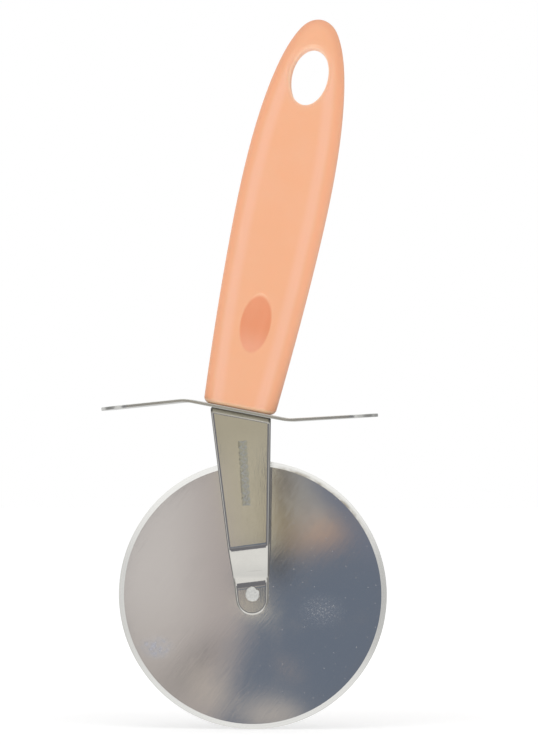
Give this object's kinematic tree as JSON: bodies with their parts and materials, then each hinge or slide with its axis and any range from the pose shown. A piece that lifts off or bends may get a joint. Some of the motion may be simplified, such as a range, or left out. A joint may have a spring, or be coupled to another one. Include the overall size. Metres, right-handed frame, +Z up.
{
  "type": "pastry cutter wheel",
  "caption": "Hand-held pastry and pizza cutting wheel: bevelled steel disc in a bent fork, Z-shaped thumb guard and leaning moulded handle with a hanging hole.",
  "frame": {"origin": "the point of the disc's rim that rests on the board, straight below the axle, in the disc's middle plane", "axes": "+Z up from the board through the axle, +Y along the axle from the front face to the rear one, +X to the right seen from the front, the side that the handle leans to"},
  "size_m": [0.0799, 0.0174, 0.1982],
  "materials": {
    "handle_plastic": "satin moulded polypropylene, peach",
    "guard_steel": "tumbled stainless strip",
    "tang_steel": "plain drawn steel",
    "fork_steel": "satin rolled stainless sheet",
    "rivet_steel": "peened stainless",
    "washer_steel": "plain stamped steel",
    "blade_steel": "fine brushed stainless with a ground bevel"
  },
  "bodies": {
    "frame": {"handle": "handle_plastic", "thumb_guard": "guard_steel", "tang": "tang_steel", "fork": "fork_steel", "axle_rivet": "rivet_steel", "front_washer": "washer_steel", "rear_washer": "washer_steel", "spacer_bush": "washer_steel"},
    "disc": {"blade_wheel": "blade_steel"}
  },
  "joints": [
    {"name": "wheel_spin", "type": "hinge", "parent": "frame", "child": "disc", "pos_m": [0, 0, 0.0375], "axis": [0, 1, 0], "continuous": true}
  ]
}
